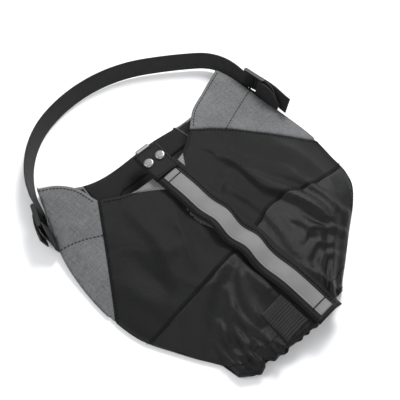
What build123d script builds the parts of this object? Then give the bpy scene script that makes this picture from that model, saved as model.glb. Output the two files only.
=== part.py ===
"""Low snow gaiter, lying on its back with its instep strap spread out in front of it.

x runs across the front, y from the ankle cuff (-) to the boot end (+) and z up from the surface it lies on.
Front panels, side wings and back panels make a flattened sleeve. A storm flap with hook-and-loop tape closes
the front. The flap's end carries a riveted lace hook. A webbing strap passes under the boot from one ladder
lock to the other. All lengths are in millimetres.
"""

import os
from math import cos, radians, sin

from build123d import *

os.makedirs("parts", exist_ok=True)

# ---------------------------------------------------------------- cloth, tape and webbing
CLOTH = 1.2  # seamed double cloth of the sleeve
THIN = 0.8  # single facing cloth
TAPE = 1.2  # loop side of the hook-and-loop tape
GAP = 0.3  # clearance between pieces that move apart
ELASTIC = 1.0
REFLECTIVE = 0.5
PATCH = 0.5
WEB_WIDTH = 20.0
WEB = 1.6

# ---------------------------------------------------------------- sleeve
TALL = 60.0  # taller than anything, for cutting blocks
FAR = 200.0  # wider and longer than the sleeve, for cutting regions
BEYOND = 220.0  # past the boot end
SIDE = 2.6  # height of the front cloth at the side folds
# stations along the sleeve: y, half width and crown height of the front cloth
STATIONS = [
    (-140, 88, 23.5),
    (-82, 108, 25.0),
    (-14, 141, 26.0),
    (50, 141, 25.0),
    (120, 132, 23.5),
    (190, 118, 21.0),
]
# side folds, from the cuff to the boot end: y, x at the left, x at the right
FOLDS = [
    (-140, -86, 86),
    (-82, -104, 106),
    (-52, -120, 121),
    (-14, -137, 136),
    (16, -140, 138),
    (55, -138, 135),
    (94, -129, 128),
    (130, -115, 123),
    (190, -92, 108),
]
SEAM_Y = -24.0  # seam between the heavy boot-end cloth and the light cuff cloth
LEFT_WING_TIP = (-99, 169)
RIGHT_WING_TIP = (121, 138)
LEFT_WING_CORNER = (-69, 113)  # where the left wing's seam meets the front hem
RIGHT_WING_CORNER = (50, 104)
LEFT_SEAM_FOOT = (-150, 4)  # the wing seams run past the folds to these points
RIGHT_SEAM_FOOT = (150, -4)
LEFT_BACK_SEAM_X, RIGHT_BACK_SEAM_X = -50.0, 35.0  # where the wings' back seams would leave the boot end
LEFT_FACING_EDGE = [(-140, 126), (-60, 51)]  # inner edges of the wing facings
RIGHT_FACING_EDGE = [(150, 92), (40, 52)]
FACING_GAP = 0.1  # between a wing and its facing
FACING_INSET = 14.0  # facings stop this far inside the side folds
CUFF_MIDDLE = (11, -124)  # the cuff's edge bends here; its right half is turned askew
CUFF_LEFT_SLOPE, CUFF_RIGHT_SLOPE = -0.132, 0.652
CUFF_BAND = 17.0  # width of the elastic casing
CUFF_OPENING = 6.0  # the elastic stops this far from each front edge
ELASTIC_INSET = 5.0
PATCH_CENTRE = (-33.0, -97.0)
PATCH_WIDTH, PATCH_LENGTH = 27.0, 32.0
HEM_BAND = 14.0
FRONT_HEM_LINE = [LEFT_WING_CORNER, (-44, 95), (-12, 89.5), (20, 88), RIGHT_WING_CORNER]
LEFT_WING_HEM_LINE = [LEFT_WING_TIP, (-84, 156), (-74, 140), LEFT_WING_CORNER]
RIGHT_WING_HEM_LINE = [RIGHT_WING_CORNER, (68, 118), (92, 127), RIGHT_WING_TIP]
BACK_HEM = [LEFT_WING_TIP, (-60, 139), (18, 128), (77, 121), RIGHT_WING_TIP]

# ---------------------------------------------------------------- front closure
UNDERLAP_X = 8.0  # right edge of the left front, under the flap
RIGHT_FRONT_X = 10.0  # left edge of the right front, where the flap is sewn on
FLAP_LEFT, FLAP_RIGHT = -17.5, 11.5
SEWN_EDGE_LEFT, SEWN_EDGE_RIGHT = 11.8, 14.8
FLAP_START, FLAP_END = -126.5, 92.0
HOOK_LEFT, HOOK_RIGHT = -14.5, 5.5
HOOK_START, HOOK_END = -121.0, 84.0
HOOK_TAPE = 1.0
FLAP = 1.0
FLAP_BASE = TAPE + GAP + HOOK_TAPE  # the flap's underside above the front cloth
REFLECTIVE_LEFT, REFLECTIVE_RIGHT = -10.5, 4.5
REFLECTIVE_START, REFLECTIVE_END = -122.0, 79.5
REINFORCE_LEFT, REINFORCE_RIGHT, REINFORCE_APEX = (-46, 96), (25, 90), (-8, 55)
REINFORCE_INSET = 1.0  # from the front hem
CORNER_R = 2.0  # rounded corners of the tapes and the flap

# ---------------------------------------------------------------- end tab and lace hook, in their own plane
TAB_CENTRE = (-2.5, 99.0, 28.4)  # middle of the tab's top face
TAB_TILT, TAB_TURN = -7.0, -5.0
TAB_WIDTH, TAB_LENGTH, TAB = 29.0, 37.0, 1.4
TAB_CORNER_R = 2.5
RIVET_X, RIVET_Y = 7.0, 2.0
RIVET_CAP_R, RIVET_CAP = 5.3, 2.1
RIVET_CAP_ROUND = 1.9
RIVET_BASE_R, RIVET_BASE = 4.0, 0.9
SHANK_R, SHANK_ROOM = 1.5, 0.1
HOOK_PLATE = 1.0
HOOK_WIDTH, HOOK_PLATE_WIDTH, HOOK_PLATE_LENGTH = 14.5, 25.0, 12.0
HOOK_REACH = 21.0  # from the tab's middle to where the hook turns under
HOOK_TURN_R = 3.2
HOOK_LAP = 1.0  # the turned-under end runs this far into the flat tongue
HOOK_RETURN = 11.0

# ---------------------------------------------------------------- strap and ladder locks
STRAP_LEAN = 16.0  # degrees that the standing webbing leans outwards
SPAN_START = (-107.0, 166.0)
SPAN_HEADING = 64.0
SPAN_ARCS = [(98, 54), (149, 45), (450, 7), (50, 42)]  # radius, turn in degrees; left to right
STRAP_HEIGHT = 12.5  # of the webbing's middle
LOCK_SETBACK = 39.0  # from the end of the free span to the anchor bar
BAR_R = 1.05
FRONT_BAR = (19.6, -0.3)  # along the lock from its anchor bar, and outwards
GRIP_BAR = (10.5, 0.9)
# corners of the threaded webbing's middle line, along the lock and outwards, without its tail
THREADING = [(2.5, 4.3), (12.3, 3.15), (17.8, -2.55), (34, 0), (LOCK_SETBACK, 0)]
TAIL_OUT = 4.3  # the tail lies this far outside the anchor bar
THREADING_RADII = (10, 3.2, 3.2, 20)  # of the webbing's bends, from the tail
RAIL_IN, RAIL = 10.4, 1.8
RAIL_THICK = 4.4
LOCK_MIDDLE, LOCK_LENGTH = 9.8, 25.0
ANCHOR_BAR_R = 1.6
ANCHOR_ROOM = 0.15
ANCHOR_WEB = 1.4
ANCHOR_LENGTH = 28.0
LEFT_ANCHOR_TURN, RIGHT_ANCHOR_TURN = 9.0, 3.0
LEFT_TAIL, RIGHT_TAIL = 16.0, 36.0


def write(piece, label):
    """Labels a finished piece and writes its STEP file."""
    piece.part.label = label
    export_step(piece.part, f"parts/{label}.step")


def under(offset):
    """Everything below the front cloth's outer surface, raised by offset."""
    with BuildPart() as block:
        side = SIDE + offset
        for y, half_width, crown in STATIONS:
            with BuildSketch(Plane.XZ.offset(-y)):
                with BuildLine():
                    ThreePointArc((-half_width, side), (0, crown + offset), (half_width, side))
                    Polyline((half_width, side), (half_width, -TALL), (-half_width, -TALL), (-half_width, side))
                make_face()
        loft()
    return block.part


def sleeve_plan(inset=0.0):
    """The sleeve seen from above, out to the side folds less the inset."""
    left = [(left_x + inset, y) for y, left_x, _ in FOLDS]
    right = [(right_x - inset, y) for y, _, right_x in FOLDS]
    with BuildSketch() as plan:
        with BuildLine():
            Spline(*left)
            Spline(*right)
            Line(left[0], right[0])
            Line(left[-1], right[-1])
        make_face()
    return plan.sketch


def hem_region(points):
    """The plan on the cuff side of a hem that runs from left to right through the points."""
    first, last = points[0], points[-1]
    with BuildSketch() as region:
        with BuildLine():
            Spline(*points)
            Polyline(last, (FAR, last[1]), (FAR, -FAR), (-FAR, -FAR), (-FAR, first[1]), first)
        make_face()
    return region.sketch


def corner_region(corners):
    """A straight-sided plan region."""
    with BuildSketch() as region:
        with BuildLine():
            Polyline(*corners, close=True)
        make_face()
    return region.sketch


def cuff_edge(x, slope):
    """The point at a place across on a straight edge through the cuff's middle."""
    return (x, CUFF_MIDDLE[1] + slope * (x - CUFF_MIDDLE[0]))


SLEEVE = sleeve_plan()
BELOW_SEAM = corner_region([(-FAR, SEAM_Y), (FAR, SEAM_Y), (FAR, -FAR), (-FAR, -FAR)])
CUFF_SIDE = corner_region(
    [
        cuff_edge(-FAR, CUFF_LEFT_SLOPE),
        CUFF_MIDDLE,
        cuff_edge(FAR, CUFF_RIGHT_SLOPE),
        (FAR, BEYOND),
        (-FAR, BEYOND),
    ]
)
LEFT_WING = corner_region(
    [
        LEFT_WING_CORNER,
        LEFT_SEAM_FOOT,
        (-FAR, LEFT_SEAM_FOOT[1]),
        (-FAR, BEYOND),
        (LEFT_BACK_SEAM_X, BEYOND),
    ]
)
RIGHT_WING = corner_region(
    [
        RIGHT_WING_CORNER,
        RIGHT_SEAM_FOOT,
        (FAR, RIGHT_SEAM_FOOT[1]),
        (FAR, BEYOND),
        (RIGHT_BACK_SEAM_X, BEYOND),
    ]
)
FRONT_HEM = hem_region(FRONT_HEM_LINE)
LEFT_WING_HEM = hem_region(LEFT_WING_HEM_LINE)
RIGHT_WING_HEM = hem_region(RIGHT_WING_HEM_LINE)
BACK_REGION = hem_region(BACK_HEM) & SLEEVE & CUFF_SIDE
LEFT_OF_FRONT = corner_region([(-FAR, -FAR), (UNDERLAP_X, -FAR), (UNDERLAP_X, BEYOND), (-FAR, BEYOND)])
RIGHT_OF_FRONT = corner_region([(RIGHT_FRONT_X, -FAR), (FAR, -FAR), (FAR, BEYOND), (RIGHT_FRONT_X, BEYOND)])
RIGHT_OF_FLAP = corner_region([(SEWN_EDGE_RIGHT, -FAR), (FAR, -FAR), (FAR, FAR), (SEWN_EDGE_RIGHT, FAR)])

CLOTH_TOP = under(0)
CLOTH_INSIDE = under(-CLOTH)


def front_layer(region, low, high, floor=0.0):
    """A layer that follows the front cloth, between two heights above its outer surface."""
    with BuildPart() as layer:
        add(region)
        extrude(amount=TALL)
        add(under(high) if high else CLOTH_TOP, mode=Mode.INTERSECT)
        add(CLOTH_INSIDE if low == -CLOTH else under(low), mode=Mode.SUBTRACT)
    return layer


def back_layer(region, low, high):
    """A flat layer of the back, between two heights."""
    with BuildPart() as layer:
        with BuildSketch(Plane.XY.offset(low)):
            add(region)
        extrude(amount=high - low)
    return layer


# ---------------------------------------------------------------- front and back panels
front_black = (FRONT_HEM & SLEEVE & CUFF_SIDE) - LEFT_WING - RIGHT_WING
for name, region in (
    ("left_front_lower_panel", (front_black & LEFT_OF_FRONT) - BELOW_SEAM),
    ("left_front_upper_panel", front_black & LEFT_OF_FRONT & BELOW_SEAM),
    ("right_front_lower_panel", (front_black & RIGHT_OF_FRONT) - BELOW_SEAM),
    ("right_front_upper_panel", front_black & RIGHT_OF_FRONT & BELOW_SEAM),
):
    write(front_layer(region, -CLOTH, 0), name)

back_black = BACK_REGION - LEFT_WING - RIGHT_WING
write(back_layer(back_black - BELOW_SEAM, 0, CLOTH), "back_lower_panel")
write(back_layer(back_black & BELOW_SEAM, 0, CLOTH), "back_upper_panel")

# ---------------------------------------------------------------- side wings, each folded round its side
for name, wing, hem in (
    ("left_side_wing", LEFT_WING, LEFT_WING_HEM),
    ("right_side_wing", RIGHT_WING, RIGHT_WING_HEM),
):
    front_part = hem & SLEEVE & wing
    fold = front_layer((BACK_REGION & front_part) - sleeve_plan(CLOTH), -TALL / 2, 0).part
    with BuildPart() as side_wing:
        add(front_layer(front_part, -CLOTH, 0).part)
        with BuildSketch():
            add(BACK_REGION & wing)
        extrude(amount=CLOTH)
        add(fold)
    write(side_wing, name)

for name, wing, hem, edge in (
    ("left_wing_facing", LEFT_WING, LEFT_WING_HEM, LEFT_FACING_EDGE),
    ("right_wing_facing", RIGHT_WING, RIGHT_WING_HEM, RIGHT_FACING_EDGE),
):
    outer, inner = edge
    boot_side = corner_region([outer, inner, (inner[0], BEYOND), (outer[0], BEYOND)])
    region = hem & sleeve_plan(FACING_INSET) & wing & boot_side
    facing_top = -CLOTH - FACING_GAP
    write(front_layer(region, facing_top - THIN, facing_top), name)

below_band = hem_region([(x, y - HEM_BAND) for x, y in BACK_HEM])
hem_band = (back_black & sleeve_plan(FACING_INSET)) - below_band
write(back_layer(hem_band, CLOTH, CLOTH + THIN), "back_hem_facing")

# ---------------------------------------------------------------- cuff: elastic, casing and loop patch
CUFF_BAND_PLAN = CUFF_SIDE - CUFF_SIDE.moved(Location((0, CUFF_BAND, 0)))


def cuff_filling(depth, inset):
    """Everything inside the cuff, depth inside its cloth and inset from the side folds."""
    with BuildPart() as filling:
        with BuildSketch(Plane.XY.offset(CLOTH + depth)):
            add(sleeve_plan(inset) & CUFF_BAND_PLAN)
        extrude(amount=TALL)
        add(under(-CLOTH - depth), mode=Mode.INTERSECT)
    return filling.part


def cuff_ring(depth, thickness, inset):
    """A band round the inside of the cuff, left open behind the front closure."""
    outer = cuff_filling(depth, inset)
    inner = cuff_filling(depth + thickness, inset + thickness)
    with BuildPart() as ring:
        add(outer)
        add(inner, mode=Mode.SUBTRACT)
        with BuildSketch(Plane.XY.offset(SIDE + CLOTH)):
            with Locations(((UNDERLAP_X + RIGHT_FRONT_X) / 2, 0)):
                Rectangle(RIGHT_FRONT_X - UNDERLAP_X + 2 * CUFF_OPENING, 2 * FAR)
        extrude(amount=TALL, mode=Mode.SUBTRACT)
    return ring


write(cuff_ring(0, ELASTIC, ELASTIC_INSET), "cuff_elastic")
write(cuff_ring(ELASTIC, THIN, ELASTIC_INSET + 2 * ELASTIC), "cuff_casing")

with BuildSketch() as loop_patch_plan:
    with Locations(PATCH_CENTRE):
        RectangleRounded(PATCH_WIDTH, PATCH_LENGTH, CORNER_R)
write(front_layer(loop_patch_plan.sketch, 0, TAPE), "cuff_loop_patch")

# ---------------------------------------------------------------- front closure
with BuildSketch() as loop_tape_plan:
    with Locations(((HOOK_LEFT + HOOK_RIGHT) / 2, (HOOK_START + HOOK_END) / 2)):
        Rectangle(HOOK_RIGHT - HOOK_LEFT, HOOK_END - HOOK_START)
write(front_layer(loop_tape_plan.sketch, 0, TAPE), "loop_tape")
write(front_layer(loop_tape_plan.sketch, TAPE + GAP, FLAP_BASE), "hook_tape")

toe = corner_region([REINFORCE_LEFT, REINFORCE_APEX, REINFORCE_RIGHT, (REINFORCE_APEX[0], BEYOND)])
toe = toe & FRONT_HEM.moved(Location((0, -REINFORCE_INSET, 0)))
left_toe = (toe & LEFT_OF_FRONT) - loop_tape_plan.sketch
write(front_layer(left_toe, 0, PATCH), "left_toe_reinforcement")
write(front_layer(toe & RIGHT_OF_FLAP, 0, PATCH), "right_toe_reinforcement")

flap_middle_y = (FLAP_START + FLAP_END) / 2
with BuildSketch() as flap_plan:
    with Locations(((FLAP_LEFT + FLAP_RIGHT) / 2, flap_middle_y)):
        RectangleRounded(FLAP_RIGHT - FLAP_LEFT, FLAP_END - FLAP_START, CORNER_R)
write(front_layer(flap_plan.sketch, FLAP_BASE, FLAP_BASE + FLAP), "storm_flap")

with BuildSketch() as sewn_edge_plan:
    with Locations(((SEWN_EDGE_LEFT + SEWN_EDGE_RIGHT) / 2, flap_middle_y)):
        Rectangle(SEWN_EDGE_RIGHT - SEWN_EDGE_LEFT, FLAP_END - FLAP_START)
sewn_edge_region = sewn_edge_plan.sketch & FRONT_HEM & CUFF_SIDE
write(front_layer(sewn_edge_region, 0, FLAP), "flap_sewn_edge")

flap_top = FLAP_BASE + FLAP
with BuildSketch() as reflective_plan:
    with Locations(((REFLECTIVE_LEFT + REFLECTIVE_RIGHT) / 2, (REFLECTIVE_START + REFLECTIVE_END) / 2)):
        Rectangle(REFLECTIVE_RIGHT - REFLECTIVE_LEFT, REFLECTIVE_END - REFLECTIVE_START)
write(front_layer(reflective_plan.sketch, flap_top, flap_top + REFLECTIVE), "reflective_tape")

# ---------------------------------------------------------------- end tab, lace hook and rivets
TAB_PLANE = Plane(origin=TAB_CENTRE).rotated((TAB_TILT, 0, TAB_TURN))
RIVET_PLACES = [(-RIVET_X, RIVET_Y), (RIVET_X, RIVET_Y)]


def tab_plane(height):
    """The tab's own plane, at a height above its top face."""
    return TAB_PLANE.offset(height)


with BuildPart() as end_tab:
    with BuildSketch(tab_plane(-TAB)):
        RectangleRounded(TAB_WIDTH, TAB_LENGTH, TAB_CORNER_R)
        with Locations(*RIVET_PLACES):
            Circle(SHANK_R + SHANK_ROOM, mode=Mode.SUBTRACT)
    extrude(amount=TAB)
write(end_tab, "flap_end_tab")

with BuildPart() as lace_hook:
    with BuildSketch(tab_plane(-TAB - HOOK_PLATE)):
        with Locations((0, RIVET_Y)):
            RectangleRounded(HOOK_PLATE_WIDTH, HOOK_PLATE_LENGTH, TAB_CORNER_R)
        with Locations((0, (RIVET_Y + HOOK_REACH) / 2)):
            Rectangle(HOOK_WIDTH, HOOK_REACH - RIVET_Y)
        with Locations(*RIVET_PLACES):
            Circle(SHANK_R + SHANK_ROOM, mode=Mode.SUBTRACT)
    extrude(amount=HOOK_PLATE)
    side_plane = Plane(
        origin=tab_plane(-TAB - HOOK_PLATE / 2).from_local_coords((-HOOK_WIDTH / 2, HOOK_REACH, 0)),
        x_dir=TAB_PLANE.y_dir,
        z_dir=TAB_PLANE.x_dir,
    )
    with BuildSketch(side_plane):
        with BuildLine():
            Line((-HOOK_LAP, 0), (0, 0))
            CenterArc((0, -HOOK_TURN_R), HOOK_TURN_R, 90, -180)
            Line((0, -2 * HOOK_TURN_R), (-HOOK_RETURN, -2 * HOOK_TURN_R))
        trace(line_width=HOOK_PLATE)
    extrude(amount=HOOK_WIDTH)
write(lace_hook, "lace_hook")

with BuildPart() as rivet_caps:
    with BuildSketch(tab_plane(0)):
        with Locations(*RIVET_PLACES):
            Circle(RIVET_CAP_R)
    extrude(amount=RIVET_CAP)
    cap_rims = rivet_caps.edges().filter_by(GeomType.CIRCLE).sort_by(Axis(TAB_CENTRE, TAB_PLANE.z_dir))[-2:]
    fillet(cap_rims, RIVET_CAP_ROUND)
    with BuildSketch(tab_plane(0)):
        with Locations(*RIVET_PLACES):
            Circle(SHANK_R)
    extrude(amount=-TAB - HOOK_PLATE)
write(rivet_caps, "rivet_caps")

with BuildPart() as rivet_bases:
    with BuildSketch(tab_plane(-TAB - HOOK_PLATE)):
        with Locations(*RIVET_PLACES):
            Circle(RIVET_BASE_R)
    extrude(amount=-RIVET_BASE)
write(rivet_bases, "rivet_bases")


# ---------------------------------------------------------------- instep strap
def lock_plane(anchor, heading, outward):
    """Plane of a ladder lock at its anchor bar: x towards the strap, z up the leaning webbing."""
    along = Vector(cos(radians(heading)), sin(radians(heading)), 0)
    out = Vector(-along.Y, along.X, 0) * outward
    up = out * sin(radians(STRAP_LEAN)) + Vector(0, 0, 1) * cos(radians(STRAP_LEAN))
    return Plane(origin=(*anchor, STRAP_HEIGHT), x_dir=along, z_dir=up)


def set_back(point, heading, distance):
    """The point a distance behind another, against a heading."""
    return (point[0] - distance * cos(radians(heading)), point[1] - distance * sin(radians(heading)))


with BuildPart() as webbing:
    with BuildLine(Plane.XY.offset(STRAP_HEIGHT)) as span:
        place, heading = SPAN_START, SPAN_HEADING
        for radius, turn in SPAN_ARCS:
            direction = (cos(radians(heading)), sin(radians(heading)))
            arc = JernArc(place, direction, radius, -turn)
            place = ((arc @ 1).X, (arc @ 1).Y)
            heading -= turn
    leftwards = (-sin(radians(SPAN_HEADING)), cos(radians(SPAN_HEADING)), 0)
    with BuildSketch(Plane(origin=span.line @ 0, x_dir=leftwards, z_dir=span.line % 0)):
        Rectangle(WEB, WEB_WIDTH, rotation=-STRAP_LEAN)
    sweep(path=span.line)

SPAN_END, END_HEADING = place, heading + 180
LEFT_LOCK = lock_plane(set_back(SPAN_START, SPAN_HEADING, LOCK_SETBACK), SPAN_HEADING, 1)
RIGHT_LOCK = lock_plane(set_back(SPAN_END, END_HEADING, LOCK_SETBACK), END_HEADING, -1)


def threaded_end(plane, side, tail):
    """The webbing from the free span, round the front and grip bars and past the anchor bar to its tail."""
    corners = [(-tail, TAIL_OUT), *THREADING]
    with BuildPart() as threaded:
        with BuildSketch(plane):
            with BuildLine():
                FilletPolyline(*[(x, side * y) for x, y in corners], radius=THREADING_RADII)
            trace(line_width=WEB)
        extrude(amount=WEB_WIDTH / 2, both=True)
    return threaded.part


with BuildPart() as instep_webbing:
    add(webbing.part)
    add(threaded_end(LEFT_LOCK, 1, LEFT_TAIL))
    add(threaded_end(RIGHT_LOCK, -1, RIGHT_TAIL))
write(instep_webbing, "instep_webbing")

for name, plane, side in (("left_ladder_lock", LEFT_LOCK, 1), ("right_ladder_lock", RIGHT_LOCK, -1)):
    with BuildPart() as lock:
        for low in (RAIL_IN, -RAIL_IN - RAIL):
            with BuildSketch(plane.offset(low)):
                with Locations((LOCK_MIDDLE, 0)):
                    SlotOverall(LOCK_LENGTH, RAIL_THICK)
            extrude(amount=RAIL)
        with BuildSketch(plane.offset(-RAIL_IN)):
            Circle(ANCHOR_BAR_R)
            with Locations((GRIP_BAR[0], side * GRIP_BAR[1]), (FRONT_BAR[0], side * FRONT_BAR[1])):
                Circle(BAR_R)
        extrude(amount=2 * RAIL_IN)
    write(lock, name)

for name, plane, side, turn in (
    ("left_anchor_webbing", LEFT_LOCK, 1, LEFT_ANCHOR_TURN),
    ("right_anchor_webbing", RIGHT_LOCK, -1, RIGHT_ANCHOR_TURN),
):
    middle_r = ANCHOR_BAR_R + ANCHOR_ROOM + ANCHOR_WEB / 2
    towards_lock = plane.x_dir * cos(radians(turn)) + plane.y_dir * side * sin(radians(turn))
    with BuildPart() as anchor:
        with BuildSketch(Plane(origin=plane.origin, x_dir=towards_lock, z_dir=plane.z_dir)):
            with BuildLine():
                Line((-ANCHOR_LENGTH, -middle_r), (0, -middle_r))
                CenterArc((0, 0), middle_r, -90, 180)
                Line((0, middle_r), (-ANCHOR_LENGTH, middle_r))
            trace(line_width=ANCHOR_WEB)
        extrude(amount=WEB_WIDTH / 2, both=True)
    write(anchor, name)
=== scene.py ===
"""Looks of a low snow gaiter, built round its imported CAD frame.

Working lengths are in millimetres and become metres as a mesh is made. The sleeve's front and back are one
sheet that is folded at both sides: a point of it is given by its plan position (x, y), and past a side fold x
runs on over the back. Creases and gathers wrinkle the front, and every panel, facing, tape and stitch follows
that surface.
"""

import math

import bmesh
import bpy
import numpy as np
from mathutils import Matrix, Vector
from mathutils.geometry import delaunay_2d_cdt


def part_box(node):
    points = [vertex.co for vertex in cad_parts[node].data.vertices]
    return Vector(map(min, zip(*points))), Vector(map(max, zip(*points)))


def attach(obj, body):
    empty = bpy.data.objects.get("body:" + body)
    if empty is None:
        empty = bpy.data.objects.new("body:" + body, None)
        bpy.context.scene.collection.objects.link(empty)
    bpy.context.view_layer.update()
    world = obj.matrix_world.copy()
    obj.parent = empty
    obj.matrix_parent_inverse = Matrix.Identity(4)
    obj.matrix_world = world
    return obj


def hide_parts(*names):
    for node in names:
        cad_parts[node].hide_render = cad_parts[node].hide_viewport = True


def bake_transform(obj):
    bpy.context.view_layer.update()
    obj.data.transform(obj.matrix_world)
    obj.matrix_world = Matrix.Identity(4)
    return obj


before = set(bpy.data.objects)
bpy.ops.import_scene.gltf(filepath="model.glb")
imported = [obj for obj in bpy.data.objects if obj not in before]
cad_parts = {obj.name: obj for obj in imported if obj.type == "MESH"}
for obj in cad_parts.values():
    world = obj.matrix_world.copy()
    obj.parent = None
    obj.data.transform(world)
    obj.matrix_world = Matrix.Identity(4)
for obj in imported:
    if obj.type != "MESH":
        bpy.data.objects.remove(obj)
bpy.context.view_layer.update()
MM = 0.001


def node_box(name):
    """A CAD node's lowest and highest corners in millimetres."""
    low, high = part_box(name)
    return np.array(low) / MM, np.array(high) / MM


# ---------------- smooth curves and noise
def smooth(points):
    """A smooth function through (at, value) points, flat beyond the ends."""
    at, value = np.array(sorted(points), float).T
    slope = np.gradient(value, at)

    def curve(x):
        x = np.clip(np.asarray(x, float), at[0], at[-1])
        i = np.clip(np.searchsorted(at, x) - 1, 0, len(at) - 2)
        step = at[i + 1] - at[i]
        t = (x - at[i]) / step
        start = (1 + 2 * t) * (1 - t) ** 2 * value[i] + t * (1 - t) ** 2 * step * slope[i]
        return start + t * t * (3 - 2 * t) * value[i + 1] + t * t * (t - 1) * step * slope[i + 1]

    return curve


def ripple(seed, lowest, highest, count=9):
    """A smooth random wave of about unit height, made of sines between two wavelengths."""
    draw = np.random.default_rng(seed)
    length = np.geomspace(lowest, highest, count)
    phase = draw.uniform(0, 2 * math.pi, count)
    weight = draw.uniform(0.5, 1, count) / math.sqrt(count / 3)

    def wave(x):
        x = np.asarray(x, float)[..., None]
        return (weight * np.sin(2 * math.pi * x / length + phase)).sum(-1)

    return wave


def run_along(route):
    """The distance along a route at each of its points."""
    return np.concatenate([[0], np.cumsum(np.linalg.norm(np.diff(route, axis=0), axis=1))])


def unit(vectors):
    """Vectors scaled to length 1."""
    return vectors / (np.linalg.norm(vectors, axis=-1, keepdims=True) + 1e-9)


def eased(x, start, end):
    """0 before start, 1 after end, smooth between."""
    t = np.clip((np.asarray(x, float) - start) / (end - start), 0, 1)
    return t * t * (3 - 2 * t)


# ---------------- the sleeve's surface
LEFT_SIDE = smooth([
    (-125, -86), (-116, -94), (-107, -99), (-96, -100), (-88, -101), (-78, -106), (-64, -114), (-50, -121),
    (-14, -137), (16, -141), (60, -139), (100, -130), (130, -117), (150, -108), (168, -100), (190, -92),
])
RIGHT_SIDE = smooth([
    (-125, 24), (-114, 33), (-98, 57), (-80, 84), (-63, 110), (-50, 124), (-38, 130), (-14, 134),
    (16, 138), (50, 137), (88, 132), (125, 127), (140, 123), (190, 110),
])
CLOSURE_X = -2.0
FLAP_LOW, FLAP_HIGH = node_box("storm_flap")
RIDGE = smooth([(-130, 17), (-110, 19), (-70, 22.5), (-14, 24.5), (50, 24), (90, 23), (120, 20), (180, 14)])
LEFT_HEIGHT = smooth([(-130, 2.6), (50, 2.4), (90, 5), (120, 8), (150, 9), (180, 9)])
RIGHT_HEIGHT = smooth([(-130, 2.6), (40, 2.6), (70, 5), (100, 10), (130, 12), (180, 12)])
CUFF_EDGE = smooth([
    (-1, -104), (-0.9, -113), (-0.75, -116), (-0.62, -114), (-0.5, -118), (-0.3, -120), (-0.1, -121),
    (0.4, -124), (0.75, -121), (1, -116),
])
BOOT_EDGE = 176.0
ROWS, COLUMNS = 150, 161
BACK_HEIGHT = 1.1  # of the back's outer face
LOWEST_FRONT = 2.6
ROLL = 0.08  # share of the half width over which the back rolls up to the folds
PATCH_X = -32  # middle of the cuff's flat patch
CUFF_RUN = 165  # length of the gathered edge


def across(x, y):
    """Where x lies between the side folds, from -1 at the left one to 1 at the right one."""
    left, right = LEFT_SIDE(y), RIGHT_SIDE(y)
    return 2 * (x - left) / (right - left) - 1


def plan_of(s, v):
    """Plan position of the grid point s across and v along, from the cuff's edge to the boot end."""
    y = CUFF_EDGE(s) + v * (BOOT_EDGE - CUFF_EDGE(s))
    left, right = LEFT_SIDE(y), RIGHT_SIDE(y)
    return left + (s + 1) / 2 * (right - left), y


def front_height(x, y):
    """Height of the smooth front cloth."""
    s, middle = across(x, y), across(CLOSURE_X, y)
    t = np.where(s < middle, (middle - s) / (middle + 1), (s - middle) / (1 - middle))
    side = np.where(s < middle, LEFT_HEIGHT(y), RIGHT_HEIGHT(y))
    return side + (RIDGE(y) - side) * (1 - np.clip(t, 0, 1) ** 2.2)


s_grid, v_grid = np.meshgrid(np.linspace(-1, 1, COLUMNS), np.linspace(0, 1, ROWS), indexing="ij")
x_grid, y_grid = plan_of(s_grid, v_grid)
from_cuff = y_grid - CUFF_EDGE(s_grid)
front_grid = np.stack([x_grid, y_grid, front_height(x_grid, y_grid)], -1)
roll = np.clip(1 - (1 - np.abs(s_grid)) / ROLL, 0, 1) ** 2
side_grid = np.where(s_grid < 0, LEFT_HEIGHT(y_grid), RIGHT_HEIGHT(y_grid))
back_grid = np.stack([x_grid, y_grid, BACK_HEIGHT + (side_grid - BACK_HEIGHT) * roll], -1)

# gathers: the cuff's edge is thrown into soft puckers that fade into the panels
pucker = ripple(3, 10.5, 19)
gather = ripple(5, 15, 36)
edge_run = (s_grid + 1) / 2 * CUFF_RUN
flat_strip = np.exp(-(((x_grid - CLOSURE_X) / 15) ** 4)) + np.exp(-(((x_grid - PATCH_X) / 17) ** 6))
loose = 1 - 0.9 * np.clip(flat_strip, 0, 1)
at_edge = np.exp(-((from_cuff / 13) ** 2))
long_gather = gather(edge_run) * np.exp(-from_cuff / 38)
front_grid[..., 2] += loose * (1.5 * pucker(edge_run) * at_edge + 1.5 * long_gather)
front_grid[..., 1] += loose * (1.1 * pucker(edge_run + 3) + 1.3 * gather(edge_run + 20)) * at_edge
back_grid[..., 1] += (1.6 + 0.5 * pucker(edge_run + 40) + 0.6 * gather(edge_run + 9)) * at_edge * (1 - roll)
back_grid[..., 2] += 0.8 * (1 + pucker(edge_run + 60)) * at_edge * (1 - roll)


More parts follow.
